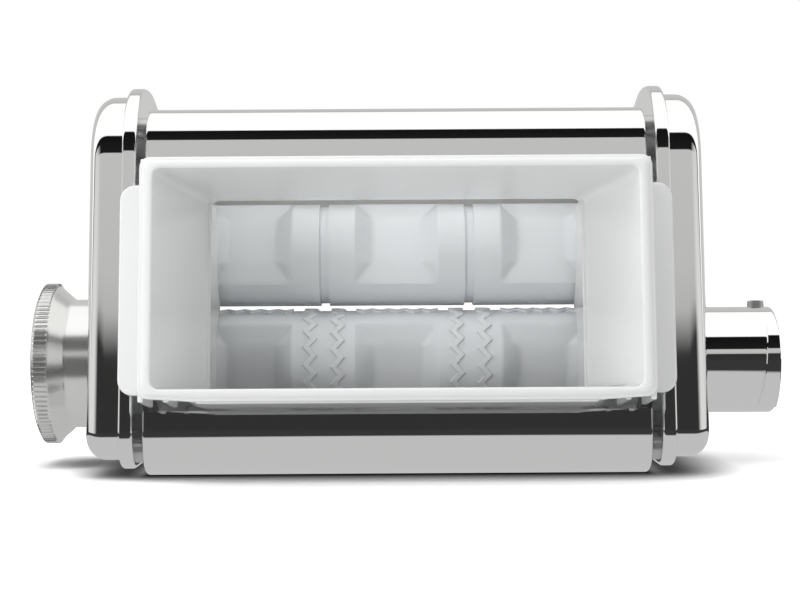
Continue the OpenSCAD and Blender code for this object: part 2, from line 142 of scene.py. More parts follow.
def corner_centre(a: Vector, p: Vector, b: Vector, r: float) -> tuple[Vector, float]:
    """Point at distance r from both sides of corner p, and half of the corner's angle."""
    u, v = (a - p).normalized(), (b - p).normalized()
    half = math.acos(max(-1.0, min(1.0, u.dot(v)))) / 2
    return p + (u + v).normalized() * (r / math.sin(half)), half


def round_outline(corners: list[Corner], steps: int = 14) -> list[Point]:
    """Rounds each corner of a closed outline.

    Args:
        corners: corners as (u, v, radius).
        steps: segments of each arc.

    Returns:
        The outline's points.
    """
    points: list[Point] = []
    for i, (u, v, r) in enumerate(corners):
        p = Vector((u, v))
        if r <= 0:
            points.append((u, v))
            continue
        a, b = Vector(corners[i - 1][:2]), Vector(corners[(i + 1) % len(corners)][:2])
        centre, half = corner_centre(a, p, b, r)
        sweep = math.pi - 2 * half
        start = (p + (a - p).normalized() * (r / math.tan(half)) - centre).normalized()
        end = (p + (b - p).normalized() * (r / math.tan(half)) - centre).normalized()
        for k in range(steps + 1):
            t = k / steps
            d = start * math.sin(sweep * (1 - t)) + end * math.sin(sweep * t)
            q = centre + d * (r / math.sin(sweep))
            points.append((q.x, q.y))
    return points


def inset_outline(corners: list[Corner], t: float) -> list[Corner]:
    """Moves a convex outline inwards by t, and keeps its number of points."""
    moved: list[Corner] = []
    for i, (u, v, r) in enumerate(corners):
        a, b = Vector(corners[i - 1][:2]), Vector(corners[(i + 1) % len(corners)][:2])
        q, _ = corner_centre(a, Vector((u, v)), b, t)
        moved.append((q.x, q.y, max(r - t, 0.4) if r > 0 else 0.0))
    return moved


def quarter(radius: float, steps: int = 6) -> list[Point]:
    """Points (advance, inset) of a quarter round, from the side wall to the face."""
    turns = [math.pi / 2 * k / steps for k in range(steps + 1)]
    return [(radius * math.sin(a), radius * (1 - math.cos(a))) for a in turns]


# ---------------------------------------------------------------- meshes


class Shape:
    """Collects closed shells in machine millimetres and turns them into one object."""

    def __init__(self, name: str) -> None:
        """Starts an empty shape called name."""
        self.name = name
        self.points: list[tuple[float, float, float]] = []
        self.faces: list[list[int]] = []

    def loft(self, rings: list[list[tuple[float, float, float]]], closed: bool = False) -> None:
        """Joins rings of equal length into one shell.

        Args:
            rings: loops of points in order.
            closed: joins the last ring to the first; otherwise both ends get a flat cap.
        """
        base, n = len(self.points), len(rings[0])
        for ring in rings:
            self.points.extend(ring)
        count = len(rings)
        for j in range(count if closed else count - 1):
            a, b = base + j * n, base + ((j + 1) % count) * n
            self.faces.extend([a + i, a + (i + 1) % n, b + (i + 1) % n, b + i] for i in range(n))
        if not closed:
            self.faces.append([base + i for i in reversed(range(n))])
            self.faces.append([base + (count - 1) * n + i for i in range(n)])

    def prism_x(self, stations: list[tuple[float, list[Point]]]) -> None:
        """Lofts (x, [y, z] outline) stations along the rollers."""
        self.loft([[(x, y, z) for y, z in outline] for x, outline in stations])

    def soft_block(self, low: Vector, high: Vector, edge: float, corner: float = 0.0) -> None:
        """Block with rounded edges; its corners seen along y have radius corner."""
        half = (high - low) / 2
        mid = (high + low) / 2
        r = max(corner, edge * 1.2)
        ends = [(low.y + edge - a, i) for a, i in reversed(quarter(edge, 4))]
        ends += [(high.y - edge + a, i) for a, i in quarter(edge, 4)]
        rings = []
        for y, i in ends:
            box = [(-half.x, -half.z, r), (-half.x, half.z, r), (half.x, half.z, r), (half.x, -half.z, r)]
            outline = round_outline(inset_outline(box, i), 6)
            rings.append([(mid.x + u, y, mid.z + v) for u, v in outline])
        self.loft(rings)

    def lathe_x(self, profile: list[Point], centre: Point, segments: int, closed: bool = False) -> None:
        """Turns an (x, radius) profile about the axis at centre = (y, z).

        Args:
            profile: the profile's points in order.
            centre: the axis.
            segments: sides of the turned shape.
            closed: joins the profile's ends; otherwise both get a flat cap.
        """
        turns = [2 * math.pi * k / segments for k in range(segments)]
        rings = [[(x, centre[0] + r * math.cos(a), centre[1] + r * math.sin(a)) for a in turns]
                 for x, r in profile]
        self.loft(rings, closed)

    def build(self, sharp: float = 35.0) -> bpy.types.Object:
        """Makes the object in row metres, with outward normals and smooth shading."""
        mesh = bpy.data.meshes.new(self.name)
        mesh.from_pydata(self.points, [], self.faces)
        mesh.transform(MACHINE.matrix())
        edit = bmesh.new()
        edit.from_mesh(mesh)
        bmesh.ops.remove_doubles(edit, verts=edit.verts, dist=1e-7)
        bmesh.ops.recalc_face_normals(edit, faces=edit.faces)
        edit.to_mesh(mesh)
        edit.free()
        mesh.shade_smooth()
        mesh.set_sharp_from_angle(angle=math.radians(sharp))
        thing = bpy.data.objects.new(self.name, mesh)
        bpy.context.scene.collection.objects.link(thing)
        return thing


def weight_normals(thing: bpy.types.Object) -> None:
    """Keeps wide flat faces flat where they meet small rounded edges."""
    weighted = thing.modifiers.new("flat_faces", "WEIGHTED_NORMAL")
    weighted.keep_sharp = True
    weighted.weight = 100


def settle(thing: bpy.types.Object, body: Body, slot: Slot, *nodes: str) -> None:
    """Rides thing on its body and lets it stand for CAD nodes."""
    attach(thing, body.value)
    if nodes:
        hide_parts(*nodes)
    LOG.info("%s rides on %s and stands for %s", thing.name, body.value, ", ".join(nodes) or "nothing")


# ---------------------------------------------------------------- finishes


def empty_tree(owner: bpy.types.ID) -> bpy.types.NodeTree:
    """Gives a material or world an empty node tree."""
    owner.use_nodes = True
    owner.node_tree.nodes.clear()
    return owner.node_tree


def wire(tree: bpy.types.NodeTree, *wires: tuple) -> None:
    """Links nodes of a tree, each wire being (from node, output, to node, input)."""
    for source, output, target, socket in wires:
        tree.links.new(source.outputs[output], target.inputs[socket])


@dataclass(frozen=True)
class Finish:
    """One surface finish: a principled shader with fine variation from procedural noise."""

    name: str
    color: tuple[float, float, float]
    metallic: float = 0.0
    roughness: float = 0.3
    roughness_swing: float = 0.05
    grain: tuple[float, float, float] = (400.0, 400.0, 400.0)
    bump: float = 0.02
    bump_depth: float = 0.00002
    coat: float = 0.0
    subsurface: float = 0.0

    def material(self) -> bpy.types.Material:
        """Builds the finish, or returns it if it is there already."""
        known = bpy.data.materials.get(self.name)
        if known:
            return known
        material = bpy.data.materials.new(self.name)
        tree = empty_tree(material)
        out = tree.nodes.new("ShaderNodeOutputMaterial")
        shader = tree.nodes.new("ShaderNodeBsdfPrincipled")
        shader.inputs["Base Color"].default_value = (*self.color, 1.0)
        shader.inputs["Metallic"].default_value = self.metallic
        shader.inputs["Coat Weight"].default_value = self.coat
        shader.inputs["Coat Roughness"].default_value = 0.06
        shader.inputs["Subsurface Weight"].default_value = self.subsurface
        shader.inputs["Subsurface Scale"].default_value = 0.002
        shader.inputs["Subsurface Radius"].default_value = (1.0, 1.0, 1.0)
        place = tree.nodes.new("ShaderNodeTexCoord")
        stretch = tree.nodes.new("ShaderNodeMapping")
        stretch.inputs["Scale"].default_value = self.grain
        noise = tree.nodes.new("ShaderNodeTexNoise")
        noise.inputs["Scale"].default_value = 1.0
        noise.inputs["Detail"].default_value = 3.0
        swing = tree.nodes.new("ShaderNodeMapRange")
        swing.inputs["To Min"].default_value = max(0.01, self.roughness - self.roughness_swing)
        swing.inputs["To Max"].default_value = self.roughness + self.roughness_swing
        bump = tree.nodes.new("ShaderNodeBump")
        bump.inputs["Strength"].default_value = self.bump
        bump.inputs["Distance"].default_value = self.bump_depth
        wire(tree, (place, "Object", stretch, "Vector"), (stretch, "Vector", noise, "Vector"),
                   (noise, "Fac", swing, "Value"), (swing, "Result", shader, "Roughness"),
                   (noise, "Fac", bump, "Height"), (bump, "Normal", shader, "Normal"),
                   (shader, "BSDF", out, "Surface"))
        return material

    def dress(self, thing: bpy.types.Object) -> None:
        """Gives thing this finish in its only material slot."""
        thing.data.materials.clear()
        thing.data.materials.append(self.material())


POLISHED = Finish("mirror_polished_steel", (0.90, 0.90, 0.895), 1.0, 0.035, 0.012, (60, 60, 60), 0.03)
SATIN = Finish("satin_turned_aluminium", (0.88, 0.88, 0.87), 0.85, 0.20, 0.03, (900, 900, 900), 0.05)
HOPPER_WHITE = Finish("gloss_white_moulding", (0.91, 0.92, 0.915), 0.0, 0.20, 0.03, (240, 240, 240),
                      0.04, coat=0.2, subsurface=0.25)
ROLLER_WHITE = Finish("white_acetal", (0.79, 0.81, 0.825), 0.0, 0.30, 0.05, (300, 300, 300), 0.06,
                      subsurface=0.25)
MILL = Finish("mill_finish_steel", (0.80, 0.80, 0.79), 0.4, 0.42, 0.06, (300, 900, 900), 0.08)
MACHINED = Finish("machined_steel", (0.62, 0.62, 0.62), 1.0, 0.25, 0.06, (180, 1800, 1800), 0.12)
BRONZE = Finish("sintered_bronze", (0.62, 0.42, 0.20), 1.0, 0.38, 0.08, (1200, 1200, 1200), 0.2)
GEAR_STEEL = Finish("oiled_gear_steel", (0.36, 0.36, 0.37), 1.0, 0.30, 0.08, (900, 900, 900), 0.15)

SLOT_FINISH = {
    Slot.POLISHED: POLISHED,
    Slot.SATIN: SATIN,
    Slot.WHITE: HOPPER_WHITE,
    Slot.ROLLER: ROLLER_WHITE,
    Slot.MACHINED: MACHINED,
    Slot.BRONZE: BRONZE,
    Slot.GEAR: GEAR_STEEL,
}


def dress_cad_nodes() -> None:
    """Gives every CAD node the finish of its slot in the record."""
    for row in frame["record"]["subparts"]:
        node = frame["nodes"][row["node"]]
        finish = SLOT_FINISH[Slot(row["material_slot"])]
        material = finish.material()
        if not node.data.materials:
            node.data.materials.append(material)
        for i in range(len(node.data.materials)):
            node.data.materials[i] = material


# ---------------------------------------------------------------- repeated copies


class Repeater:
    """Geometry Nodes that set one small mesh at many places and turn the result into a plain mesh."""

    def __init__(self, name: str, unit: Shape, finish: Finish) -> None:
        """Keeps the unit, a shape about the machine's origin, and the finish of the copies."""
        self.name = name
        self.finish = finish
        mesh = bpy.data.meshes.new(name + "_unit")
        mesh.from_pydata(unit.points, [], unit.faces)
        mesh.shade_smooth()
        mesh.set_sharp_from_angle(angle=math.radians(35))
        edit = bmesh.new()
        edit.from_mesh(mesh)
        bmesh.ops.recalc_face_normals(edit, faces=edit.faces)
        edit.to_mesh(mesh)
        edit.free()
        self.unit = bpy.data.objects.new(name + "_unit", mesh)

    def _tree(self) -> bpy.types.NodeTree:
        """Tree with the inputs Unit and Unit Scale: instances on the points, turned by attribute "turn"."""
        tree = bpy.data.node_groups.new(self.name + "_copies", "GeometryNodeTree")
        face = tree.interface
        face.new_socket("Geometry", in_out="INPUT", socket_type="NodeSocketGeometry")
        face.new_socket("Unit", in_out="INPUT", socket_type="NodeSocketObject")
        face.new_socket("Unit Scale", in_out="INPUT", socket_type="NodeSocketFloat")
        face.new_socket("Geometry", in_out="OUTPUT", socket_type="NodeSocketGeometry")
        add = tree.nodes.new
        given, result = add("NodeGroupInput"), add("NodeGroupOutput")
        info, turn = add("GeometryNodeObjectInfo"), add("GeometryNodeInputNamedAttribute")
        turn.data_type = "FLOAT_VECTOR"
        turn.inputs["Name"].default_value = "turn"
        place, whole = add("GeometryNodeInstanceOnPoints"), add("GeometryNodeRealizeInstances")
        paint = add("GeometryNodeSetMaterial")
        paint.inputs["Material"].default_value = self.finish.material()
        wire(tree, (given, "Geometry", place, "Points"), (given, "Unit", info, "Object"),
                   (info, "Geometry", place, "Instance"), (turn, "Attribute", place, "Rotation"),
                   (given, "Unit Scale", place, "Scale"), (place, "Instances", whole, "Geometry"),
                   (whole, "Geometry", paint, "Geometry"), (paint, "Geometry", result, "Geometry"))
        return tree

    def build(self, places: list[tuple[Vector, Vector]]) -> bpy.types.Object:
        """Sets a copy at each place.

        Args:
            places: (position, Euler turn) of each copy, in machine millimetres.

        Returns:
            One plain object in row metres.
        """
        points = bpy.data.meshes.new(self.name + "_places")
        points.from_pydata([p for p, _ in places], [], [])
        turns = points.attributes.new("turn", "FLOAT_VECTOR", "POINT")
        turns.data.foreach_set("vector", [c for _, t in places for c in t])
        holder = bpy.data.objects.new(self.name + "_places", points)
        scene = bpy.context.scene.collection.objects
        scene.link(holder)
        scene.link(self.unit)
        tree = self._tree()
        modifier = holder.modifiers.new("copies", "NODES")
        modifier.node_group = tree
        sockets = {s.name: s.identifier for s in tree.interface.items_tree if s.in_out == "INPUT"}
        modifier[sockets["Unit"]] = self.unit
        modifier[sockets["Unit Scale"]] = 1.0
        bpy.context.view_layer.update()
        graph = bpy.context.evaluated_depsgraph_get()
        mesh = bpy.data.meshes.new_from_object(holder.evaluated_get(graph))
        mesh.name = self.name
        mesh.transform(MACHINE.matrix())
        bpy.data.objects.remove(holder)
        bpy.data.objects.remove(self.unit)
        thing = bpy.data.objects.new(self.name, mesh)
        scene.link(thing)
        return thing


# ---------------------------------------------------------------- case


@dataclass
class Case:
    """End plates, dished caps and the two bent covers."""

    plate_lift: float = 2.3
    ear_front: float = 4.0
    ear_crown: float = 10.8
    ear_rear: float = 4.5
    crown_y: float = 32.0
    plate_edge: float = 1.1
    cap_inset: float = 2.6
    cap_round: float = 6.0
    cap_wall: float = 1.0
    sheet: float = 1.2
    lip_z: float = 35.0
    exit_z: float = 21.0
    cover_front: float = 1.0
    cover_edge: float = 1.1
    plate_outline: list[Corner] = field(init=False)

    def __post_init__(self) -> None:
        """Works out the end plates' outline."""
        top, depth = LAYOUT.cover_top, LAYOUT.body_d
        self.plate_outline = [
            (0, MACHINE.bottom(0) + self.plate_lift, 10.5),
            (0, top + self.ear_front, 25),
            (self.crown_y, top + self.ear_crown, 45),
            (depth, top + self.ear_rear, 14),
            (depth, MACHINE.bottom(depth) + self.plate_lift, 10),
        ]

    def outline(self, inset: float) -> list[Point]:
        """The plates' rounded outline moved inwards."""
        return round_outline(inset_outline(self.plate_outline, inset))

    def end_plate(self, side: int, name: str) -> bpy.types.Object:
        """Thick plate with rounded edges, on side -1 or 1."""
        shape = Shape(name)
        edge = quarter(self.plate_edge)
        inner = [(LAYOUT.plate_in + self.plate_edge - a, i) for a, i in reversed(edge)]
        outer = [(LAYOUT.plate_out - self.plate_edge + a, i) for a, i in edge]
        shape.prism_x([(side * x, self.outline(i)) for x, i in inner + outer])
        return shape.build()

    def cap(self, side: int, name: str) -> bpy.types.Object:
        """Dished shell with a widely rounded outer edge, on side -1 or 1."""
        shape = Shape(name)
        start = LAYOUT.cap_out - self.cap_round
        bend = quarter(self.cap_round, 20)
        outer = [(LAYOUT.plate_out, 0.0)] + [(start + a, i) for a, i in bend]
        r = self.cap_round - self.cap_wall
        inner = [(start + a, i + self.cap_wall) for a, i in reversed(quarter(r, 12))]
        inner += [(LAYOUT.plate_out, self.cap_wall)]
        rings = []
        for x, i in outer + inner:
            rings.append([(side * x, y, z) for y, z in self.outline(self.cap_inset + i)])
        n, last = len(rings[0]), len(outer)
        base = len(shape.points)
        for ring in rings:
            shape.points.extend(ring)
        for j in range(len(rings)):
            if j == last - 1:
                continue
            a, b = base + j * n, base + ((j + 1) % len(rings)) * n
            shape.faces.extend([a + i, a + (i + 1) % n, b + (i + 1) % n, b + i] for i in range(n))
        for j in (last - 1, last):
            shape.faces.append([base + j * n + i for i in range(n)])
        return shape.build()

    def sheet_loop(self, outline: list[Corner], inset: float) -> list[Point]:
        """Closed section of a bent sheet whose outer face is moved inwards by inset."""
        def path(t: float) -> list[Point]:
            points = round_outline(inset_outline(outline, t), 20)
            points[0] = (points[0][0], self.lip_z)
            points[-1] = (points[-1][0], self.exit_z)
            return points
        return path(inset) + list(reversed(path(self.sheet)))

    def cover(self, name: str, outline: list[Corner], sign: int) -> bpy.types.Object:
        """Bent cover with softened ends; sign 1 is the upper one and -1 the lower one."""
        shape = Shape(name)
        ends = quarter(self.cover_edge, 5)
        right = [(LAYOUT.cover_half - self.cover_edge + a, i * 0.9) for a, i in ends]
        left = [(-x, i) for x, i in reversed(right)]
        shape.prism_x([(x, [(y, sign * z) for y, z in self.sheet_loop(outline, i)])
                       for x, i in left + right])
        return shape.build()

    def dull_inside(self, thing: bpy.types.Object) -> None:
        """Gives the faces that look into the case the sheet's unpolished mill finish."""
        thing.data.materials.append(MILL.material())
        middle = MACHINE.matrix() @ Vector((0, LAYOUT.body_d / 2, 0))
        for face in thing.data.polygons:
            away = face.center - middle
            away.x = 0
            if away.dot(face.normal) < -0.3 * away.length:
                face.material_index = 1

    def build(self) -> None:
        """Builds and dresses the case."""
        front, rear = self.cover_front, LAYOUT.body_d - 2
        upper = [(front, 0, 0), (front, LAYOUT.cover_top, 12), (rear, LAYOUT.cover_top - 2.5, 8),
                 (rear, 0, 0)]
        lower = [(front, 0, 0), (front, -MACHINE.bottom(front), 13), (rear, -MACHINE.bottom(rear), 8),
                 (rear, 0, 0)]
        pieces = {
            "left_end_plate": self.end_plate(-1, "left_end_plate_dressed"),
            "right_end_plate": self.end_plate(1, "right_end_plate_dressed"),
            "left_cap": self.cap(-1, "left_cap_dressed"),
            "right_cap": self.cap(1, "right_cap_dressed"),
            "upper_cover": self.cover("upper_cover_dressed", upper, 1),
            "lower_cover": self.cover("lower_cover_dressed", lower, -1),
        }
        for node, thing in pieces.items():
            POLISHED.dress(thing)
            if "cover" in node:
                self.dull_inside(thing)
            weight_normals(thing)
            settle(thing, Body.FRAME, Slot.POLISHED, node)


# ---------------------------------------------------------------- hopper


@dataclass
class Hopper:
    """White funnel with a thick rim, seating wings, thick side walls, ribs and inner cheeks."""

    rim_x: float = 71.5
    rim_z: float = 34.25
    rim_y: float = 27.0
    rim_end: float = 4.0
    rim_side: float = 3.45
    band: float = 5.0
    throat_x: float = 55.8
    throat_z: float = 28.9
    throat_y: float = 13.0
    wall: float = 2.5
    wing_x: float = 80.4
    wing_z: float = 30.7
    wing_t: float = 3.0
    rib: float = 1.6
    edge: float = 0.8
    bead_drop: float = 1.3
    rim_sag: float = 1.0
    wing_start: float = 5.4
    wing_r: float = 4.4
    side_step: float = 0.4
    rib_step: float = 0.5
    cheek_step: float = 0.8
    cheek_air: float = 1.4
    cheek_start: float = 17.2
    cheek_end: float = 7.0

    def ring(self, y: float, x: float, z: float, r: float, rise: float = 0.0) -> list[tuple[float, ...]]:
        """Rounded rectangle across the funnel's axis, whose lower corners are raised by rise."""
        low, inner = rise - z, self.throat_x
        box = [(-x, low, r), (-x, z, r), (x, z, r), (x, low, r), (inner, -z, 0), (-inner, -z, 0)]
        return [(u, y, v) for u, v in round_outline(box, 8)]

    def funnel(self, shape: Shape) -> None:
        """The flared wall and its rim, as one closed shell."""
        top, e, sag = -self.rim_y, self.edge, self.rim_sag
        rings = [
            self.ring(self.throat_y, self.throat_x + self.wall, self.throat_z + self.wall, 3),
            self.ring(top + self.band + 0.6, self.rim_x - 1.0, self.rim_z - 0.4, 3, sag),
            self.ring(top + self.band + 0.1, self.rim_x - 0.4, self.rim_z - 0.15, 3, sag),
        ]
        drop = self.bead_drop
        for a, i in quarter(e, 5):
            rings.append(self.ring(top + drop + e - a, self.rim_x - i, self.rim_z - i, 3 - i, sag))
        x, z, steps = self.rim_x - self.rim_end, self.rim_z - self.rim_side, 8
        for k in range(1, steps):
            share = k / steps
            in_x, in_z = (w - 2 * e for w in (self.rim_end, self.rim_side))
            rings.append(self.ring(top + drop * (1 - share) ** 3, self.rim_x - e - in_x * share,
                                   self.rim_z - e - in_z * share, 2.6, sag * (1 - share)))
        for a, i in reversed(quarter(e, 5)):
            rings.append(self.ring(top + e - a, x + i, z + i, 2.4 + i))
        rings.append(self.ring(self.throat_y - 4, self.throat_x, self.throat_z, 2.4))
        rings.append(self.ring(self.throat_y, self.throat_x - 0.5, self.throat_z, 2.4))
        shape.loft(rings, closed=True)

    def cheek(self, side: int, shape: Shape) -> None:
        """Inner wall that follows the rollers and keeps the filling between them."""
        room, steps = LAYOUT.roller_r + self.cheek_air, 20
        end = LAYOUT.axis_y - self.cheek_end
        start = LAYOUT.axis_y - self.cheek_start
        ys = [start + (end - start) * k / steps for k in range(steps + 1)]
        edge = [(y, LAYOUT.axis_z - math.sqrt(max(room**2 - (y - LAYOUT.axis_y) ** 2, 0))) for y in ys]
        front = [(self.throat_y - 4, self.throat_z - 0.4), (start, self.throat_z - 0.4)]
        upper = front + edge
        outline = upper + [(y, -z) for y, z in reversed(upper)]
        inner = self.throat_x - self.cheek_step
        shape.prism_x([(side * x, outline) for x in (inner, inner + self.wall)])

    def build(self) -> None:
        """Builds and dresses the hopper."""
        shape = Shape("hopper_dressed")
        self.funnel(shape)
        reach, wall_z = self.rim_z + self.side_step, self.throat_z + self.wall
        back = self.band - self.rim_y - 1
        for side in (-1, 1):
            self.cheek(side, shape)
            low_x, high_x = sorted((side * (self.throat_x + self.wing_start), side * self.wing_x))
            shape.soft_block(Vector((low_x, -self.wing_t, -self.wing_z)),
                             Vector((high_x, 0, self.wing_z)), 0.7, self.wing_r)
            for k in range(3):
                x = side * (self.throat_x + (self.rim_x - self.throat_x - self.rib) * k / 2 + self.rib / 2)
                for z in (-1, 1):
                    low_z, high_z = sorted((z * wall_z, z * (reach - self.rib_step)))
                    shape.soft_block(Vector((x - self.rib / 2, back, low_z)),
                                     Vector((x + self.rib / 2, -self.wing_t, high_z)), 0.35)
        for z in (-1, 1):
            low_z, high_z = sorted((z * wall_z, z * reach))
            shape.soft_block(Vector((-self.throat_x, back, low_z)),
                             Vector((self.throat_x, -self.wing_t, high_z)), 0.8)
        thing = shape.build(30)
        HOPPER_WHITE.dress(thing)
        weight_normals(thing)
        settle(thing, Body.HOPPER, Slot.WHITE, "hopper")


# ---------------------------------------------------------------- rollers


@dataclass
class Rollers:
    """Two moulded rollers with sunken pockets, and the crimping zigzags of the lower one."""

    floor_r: float = 9.5
    floor_half: float = 7.5
    mouth_half: float = 12.75
    mouth_angle: float = math.radians(62)
    phase: float = math.radians(20)
    groove_half: float = 1.4
    groove_depth: float = 0.8
    crimp_h: float = 0.8
    crimp_w: float = 2.2
    crimp_swing: float = 1.2
    crimp_offset: float = 4.2
    crimp_count: int = 19
    soften: float = 0.35
    steps_x: int = 264
    steps_turn: int = 160
    seam_snap: float = 0.001

    def soft_low(self, a: float, b: float) -> float:
        """Lower of two radii, with the crease between them rounded."""
        h = max(self.soften * 2 - abs(a - b), 0.0) / (self.soften * 2)
        return min(a, b) - h * h * self.soften / 2

    def floor_radius(self, turn: float) -> float:
        """Radius of the pocket's floor and slopes at angle turn from its middle."""
        r = LAYOUT.roller_r
        flat = self.floor_r / max(math.cos(turn), 0.1)
        edge_y, edge_h = r * math.sin(self.mouth_angle), r * math.cos(self.mouth_angle)
        down, out = self.floor_r - edge_h, edge_y - self.floor_half
        distance = down * self.floor_half + out * self.floor_r
        slope = distance / max(down * math.sin(abs(turn)) + out * math.cos(turn), 0.1)
        return self.soft_low(flat, slope)

    def radius(self, x: float, turn: float, groove: bool) -> float:
        """Radius of the roller's surface.

        Args:
            x: place along the roller.
            turn: angle from a pocket's middle.
            groove: whether the seams have smooth grooves.

        Returns:
            The radius in millimetres.
        """
        r = LAYOUT.roller_r
        if groove and min(abs(x - s) for s in LAYOUT.seams()) < self.groove_half:
            return r - self.groove_depth
        turn = (turn + math.pi / 2) % math.pi - math.pi / 2
        along = min(abs(x - c) for c in LAYOUT.row_centres())
        if abs(turn) >= self.mouth_angle or along >= self.mouth_half:
            return r
        low = self.floor_radius(turn)
        corner = math.atan2(self.floor_half, self.floor_r)
        share = max(0.0, abs(turn) - corner) / (self.mouth_angle - corner)
        half = self.floor_half + (self.mouth_half - self.floor_half) * min(share, 0.98)
        rise = (along - half) / (self.mouth_half - half)
        wall = low + (r - low) * rise
        return min(r, -self.soft_low(-low, -wall))

    def body(self, name: str, axis_z: float, phase: float, groove: bool) -> bpy.types.Object:
        """One roller as a closed surface of radii over its length and turn."""
        shape = Shape(name)
        half = LAYOUT.roller_half
        edges = [side * (self.groove_half + d) for side in (-1, 1) for d in (-self.seam_snap, self.seam_snap)]
        marks = [s + d for s in LAYOUT.seams() for d in edges] if groove else []
        xs = sorted(marks + [-half + 2 * half * k / self.steps_x for k in range(self.steps_x + 1)])
        turns = [2 * math.pi * k / self.steps_turn for k in range(self.steps_turn)]
        rings = []
        for x in xs:
            ring = []
            for turn in turns:
                r = self.radius(x, turn, groove)
                around = turn + phase
                ring.append((x, LAYOUT.axis_y - r * math.cos(around), axis_z + r * math.sin(around)))
            rings.append(ring)
        shape.loft(rings)
        return shape.build(28)

    def zigzag_section(self) -> list[Point]:
        """Section of a zigzag rib as (across, radius), its top edges cut off."""
        low, high = LAYOUT.roller_r - 0.4, LAYOUT.roller_r + self.crimp_h
        w, c = self.crimp_w / 2, 0.25
        return [(-w, low), (w, low), (w, high - c), (w - c, high), (c - w, high), (-w, high - c)]

    def swing(self, k: int) -> float:
        """Sideways place of the zigzag's corner k."""
        return self.crimp_swing * (1 if k % 2 == 0 else -1)

    def zigzag_ring(self) -> Shape:
        """Raised zigzag rib around the axis, about the machine's origin."""
        unit, n = Shape("ring"), 2 * self.crimp_count
        rings = []
        for k in range(n):
            a, x = 2 * math.pi * k / n, self.swing(k)
            rings.append([(x + u, -r * math.cos(a), r * math.sin(a)) for u, r in self.zigzag_section()])
        unit.loft(rings, closed=True)
        return unit

    def zigzag_line(self) -> Shape:
        """Raised zigzag rib along the axis over one row, on the side that faces -y."""
        unit, n = Shape("line"), 11
        rings = []
        for k in range(n):
            x, ring = self.mouth_half * (2 * k / (n - 1) - 1), []
            for u, r in self.zigzag_section():
                a = (self.swing(k) + u) / LAYOUT.roller_r
                ring.append((x, -r * math.cos(a), r * math.sin(a)))
            rings.append(ring)
        unit.loft(rings)
        return unit

    def build(self) -> None:
        """Builds and dresses both rollers."""
        lower = self.body("crimp_roller_dressed", -LAYOUT.axis_z, -self.phase, False)
        upper = self.body("pocket_roller_dressed", LAYOUT.axis_z, self.phase, True)
        ends = LAYOUT.rows * LAYOUT.row_pitch / 2
        axis = (LAYOUT.axis_y, -LAYOUT.axis_z)
        offsets = [s + d * self.crimp_offset for s in LAYOUT.seams() for d in (-1, 1)]
        mirrored = [(Vector((x, *axis)), Vector((-self.phase, 0, math.pi if k % 2 else 0)))
                    for k, x in enumerate(offsets) if abs(x) < ends]
        rings = Repeater("crimp_rings", self.zigzag_ring(), ROLLER_WHITE).build(mirrored)
        quarter_turn = math.pi / 2
        lines = [(Vector((x, *axis)), Vector((self.phase + quarter_turn * d, 0, 0)))
                 for x in LAYOUT.row_centres() for d in (-1, 1)]
        land = Repeater("crimp_lines", self.zigzag_line(), ROLLER_WHITE).build(lines)
        for thing in (lower, upper):
            ROLLER_WHITE.dress(thing)
        settle(lower, Body.LOWER, Slot.ROLLER, "crimp_roller")
        settle(rings, Body.LOWER, Slot.ROLLER)
        settle(land, Body.LOWER, Slot.ROLLER)
        settle(upper, Body.UPPER, Slot.ROLLER, "pocket_roller")


# ---------------------------------------------------------------- knob and coupling


@dataclass
class Knob:
    """Turned knob with a straight-knurled disc."""

    disc_r: float = 25.0
    disc: float = 5.0
    neck_r: float = 20.0
    cone: float = 4.5
    length: float = 19.3
    gap: float = 0.4
    bevel: float = 1.0
    socket_r: float = 5.05
    ridges: int = 96
    ridge_h: float = 0.8

    def build(self) -> None:
        """Builds and dresses the knob and its knurl."""
        axis = (LAYOUT.axis_y, -LAYOUT.axis_z)
        near, far = LAYOUT.cap_out + self.gap, LAYOUT.cap_out + self.length
        core = self.disc_r - self.ridge_h
        shoulder = far - self.disc
        shape = Shape("knob_dressed")
        profile = [
            (near, self.socket_r), (near, self.neck_r - 0.5), (near + 0.15, self.neck_r - 0.15),
            (near + 0.5, self.neck_r), (shoulder - self.cone - 0.6, self.neck_r),
            (shoulder - self.cone, self.neck_r + 0.12), (shoulder - self.cone + 0.6, self.neck_r + 0.6),
            (shoulder - 0.4, core - 0.5), (shoulder, core - 0.1), (shoulder + 0.4, core),
            (far - self.bevel, core), (far - 0.3, core - 0.7), (far, core - self.bevel - 0.2),
            (far, self.disc_r - 6), (far - 0.6, self.disc_r - 7), (far - 0.6, self.socket_r + 3),
            (far, self.socket_r + 2.4), (far, self.socket_r),
        ]
        shape.lathe_x([(-x, r) for x, r in profile], axis, 160, closed=True)
        knob = shape.build(40)
        ridge = Shape("ridge")
        width = 2 * math.pi * core / self.ridges * 0.27
        rise = self.ridge_h + 0.3
        stations = [(-far + self.bevel - 0.35, 0.45), (-far + self.bevel + 0.1, 1.0), (-shoulder - 0.45, 1.0),
                    (-shoulder - 0.05, 0.35)]
        rings = []
        for x, share in stations:
            z = core - 0.3
            crest = z + rise * share
            rings.append([(x, -width, z), (x, -width * 0.35, crest), (x, width * 0.35, crest), (x, width, z)])
        ridge.loft(rings)
        step = 2 * math.pi / self.ridges
        places = [(Vector((0, *axis)), Vector((step * k, 0, 0))) for k in range(self.ridges)]
        knurl = Repeater("knob_knurl", ridge, SATIN).build(places)
        SATIN.dress(knob)
        weight_normals(knob)
        settle(knob, Body.LOWER, Slot.SATIN, "knob")
        settle(knurl, Body.LOWER, Slot.SATIN)


